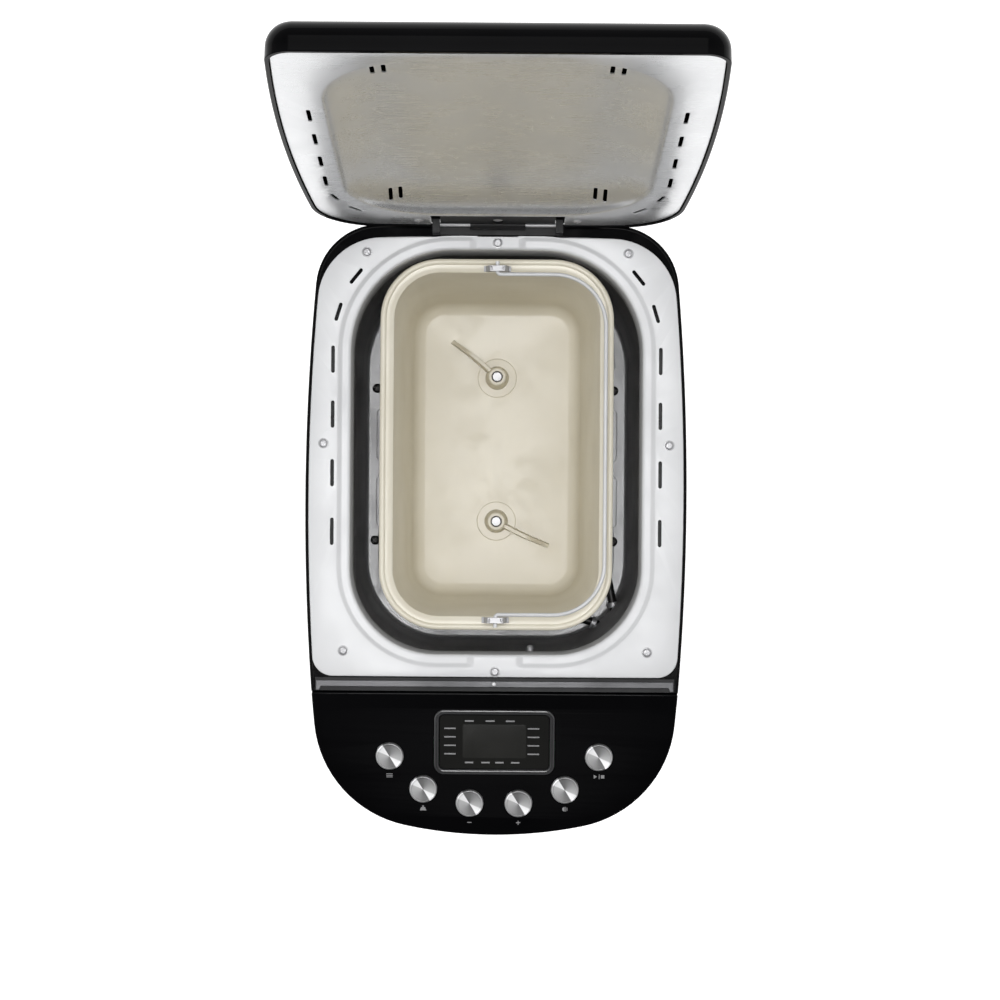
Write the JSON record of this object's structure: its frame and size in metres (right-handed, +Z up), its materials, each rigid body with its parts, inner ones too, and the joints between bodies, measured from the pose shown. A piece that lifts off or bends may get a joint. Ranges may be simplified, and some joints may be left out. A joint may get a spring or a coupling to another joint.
{
  "type": "bread machine",
  "caption": "Automatic bread machine with a hinged lid, deep oven chamber, lift-out pan with a wire handle, kneading paddles and a push-button control panel.",
  "frame": {"origin": "on the floor, under the middle of the box the machine fills with its lid open", "axes": "+X to the machine's right as its user faces it from the front, +Y to the rear where the lid is hinged, +Z up"},
  "size_m": [0.2644, 0.4981, 0.5808],
  "materials": {
    "gloss_black": "polished black",
    "satin_black": "satin black",
    "bright_steel": "bright satin sheet",
    "dark_coating": "dark coated sheet",
    "cream_coating": "pale non-stick coating",
    "pan_coating": "pale non-stick coating on pressed aluminium",
    "motor_casing": "bare can",
    "zinc_steel": "zinc plated",
    "spun_aluminium": "spun",
    "smoked_window": "smoked",
    "circuit_green": "lacquered",
    "black_rubber": "matt",
    "dark_nylon": "matt",
    "element_sheath": "oxidised sheath"
  },
  "bodies": {
    "casing": {"base_tray": "satin_black", "foot_front_left": "black_rubber", "foot_front_right": "black_rubber", "foot_rear_left": "black_rubber", "foot_rear_right": "black_rubber", "housing_shell": "gloss_black", "deck_plate": "bright_steel", "deck_screw_1": "zinc_steel", "deck_screw_2": "zinc_steel", "deck_screw_3": "zinc_steel", "deck_screw_4": "zinc_steel", "deck_screw_5": "zinc_steel", "deck_screw_6": "zinc_steel", "deck_screw_7": "zinc_steel", "deck_screw_8": "zinc_steel", "front_trim": "satin_black", "oven_chamber": "dark_coating", "heating_element": "element_sheath", "temperature_probe": "zinc_steel", "pan_clip_left": "zinc_steel", "pan_clip_right": "zinc_steel", "control_panel": "gloss_black", "display_bezel": "satin_black", "display_window": "smoked_window", "display_module": "satin_black", "control_board": "circuit_green", "power_board": "circuit_green", "motor": "motor_casing", "motor_bracket": "zinc_steel", "cord_gland": "black_rubber", "drive_bearing_front": "dark_nylon", "drive_bearing_rear": "dark_nylon", "hinge_bracket": "satin_black", "hinge_pin": "zinc_steel", "motor_belt": "black_rubber", "linking_belt": "black_rubber"},
    "lid": {"lid_shell": "gloss_black", "lid_liner": "bright_steel", "lid_hinge_leaf": "satin_black", "lid_screw": "zinc_steel"},
    "pan": {"bread_pan": "pan_coating", "pan_skirt": "zinc_steel", "handle_bracket_rear": "zinc_steel", "handle_bracket_front": "zinc_steel"},
    "handle": {"pan_handle": "bright_steel"},
    "kneader_front": {"kneading_shaft_front": "zinc_steel", "kneading_paddle_front": "cream_coating"},
    "kneader_rear": {"kneading_shaft_rear": "zinc_steel", "kneading_paddle_rear": "cream_coating"},
    "drive_front": {"drive_shaft_front": "zinc_steel", "drive_pulley_front": "dark_nylon"},
    "drive_rear": {"drive_shaft_rear": "zinc_steel", "drive_pulley_rear": "dark_nylon"},
    "motor_rotor": {"motor_pulley": "dark_nylon"},
    "menu_button": {"button_menu": "spun_aluminium"},
    "start_button": {"button_start": "spun_aluminium"},
    "weight_button": {"button_weight": "spun_aluminium"},
    "crust_button": {"button_crust": "spun_aluminium"},
    "time_down_button": {"button_time_down": "spun_aluminium"},
    "time_up_button": {"button_time_up": "spun_aluminium"}
  },
  "joints": [
    {"name": "lid_hinge", "type": "hinge", "parent": "casing", "child": "lid", "pos_m": [0, 0.17494, 0.271], "axis": [-1, 0, 0], "range_deg": [-100, 0]},
    {"name": "pan_lift", "type": "slide", "parent": "casing", "child": "pan", "axis": [0, 0, 1], "range_m": [0, 0.25]},
    {"name": "pan_handle_hinge", "type": "hinge", "parent": "pan", "child": "handle", "pos_m": [0, 0.02359, 0.2586], "axis": [0, -1, 0], "range_deg": [0, 180]},
    {"name": "drive_spin", "type": "hinge", "parent": "casing", "child": "drive_front", "pos_m": [0, -0.03141, 0.03], "axis": [0, 0, 1], "continuous": true},
    {"name": "rear_drive_spin", "type": "hinge", "parent": "casing", "child": "drive_rear", "pos_m": [0, 0.07859, 0.03], "axis": [0, 0, 1], "continuous": true},
    {"name": "motor_spin", "type": "hinge", "parent": "casing", "child": "motor_rotor", "pos_m": [0, -0.19306, 0.03], "axis": [0, 0, 1], "continuous": true},
    {"name": "front_kneader_spin", "type": "hinge", "parent": "pan", "child": "kneader_front", "pos_m": [0, -0.03141, 0.11], "axis": [0, 0, 1], "continuous": true},
    {"name": "rear_kneader_spin", "type": "hinge", "parent": "pan", "child": "kneader_rear", "pos_m": [0, 0.07859, 0.11], "axis": [0, 0, 1], "continuous": true},
    {"name": "menu_press", "type": "slide", "parent": "casing", "child": "menu_button", "axis": [0, 0.1132, -0.9936], "range_m": [0, 0.0015], "stiffness_N_per_m": 300, "springref_m": -0.002},
    {"name": "start_press", "type": "slide", "parent": "casing", "child": "start_button", "axis": [0, 0.1132, -0.9936], "range_m": [0, 0.0015], "stiffness_N_per_m": 300, "springref_m": -0.002},
    {"name": "weight_press", "type": "slide", "parent": "casing", "child": "weight_button", "axis": [0, 0.1132, -0.9936], "range_m": [0, 0.0015], "stiffness_N_per_m": 300, "springref_m": -0.002},
    {"name": "crust_press", "type": "slide", "parent": "casing", "child": "crust_button", "axis": [0, 0.1132, -0.9936], "range_m": [0, 0.0015], "stiffness_N_per_m": 300, "springref_m": -0.002},
    {"name": "time_down_press", "type": "slide", "parent": "casing", "child": "time_down_button", "axis": [0, 0.1132, -0.9936], "range_m": [0, 0.0015], "stiffness_N_per_m": 300, "springref_m": -0.002},
    {"name": "time_up_press", "type": "slide", "parent": "casing", "child": "time_up_button", "axis": [0, 0.1132, -0.9936], "range_m": [0, 0.0015], "stiffness_N_per_m": 300, "springref_m": -0.002}
  ],
  "couplings": [
    {"joint": "rear_drive_spin", "follows": "drive_spin", "ratio": 1},
    {"joint": "motor_spin", "follows": "drive_spin", "ratio": 5},
    {"joint": "front_kneader_spin", "follows": "drive_spin", "ratio": 1},
    {"joint": "rear_kneader_spin", "follows": "drive_spin", "ratio": 1}
  ]
}
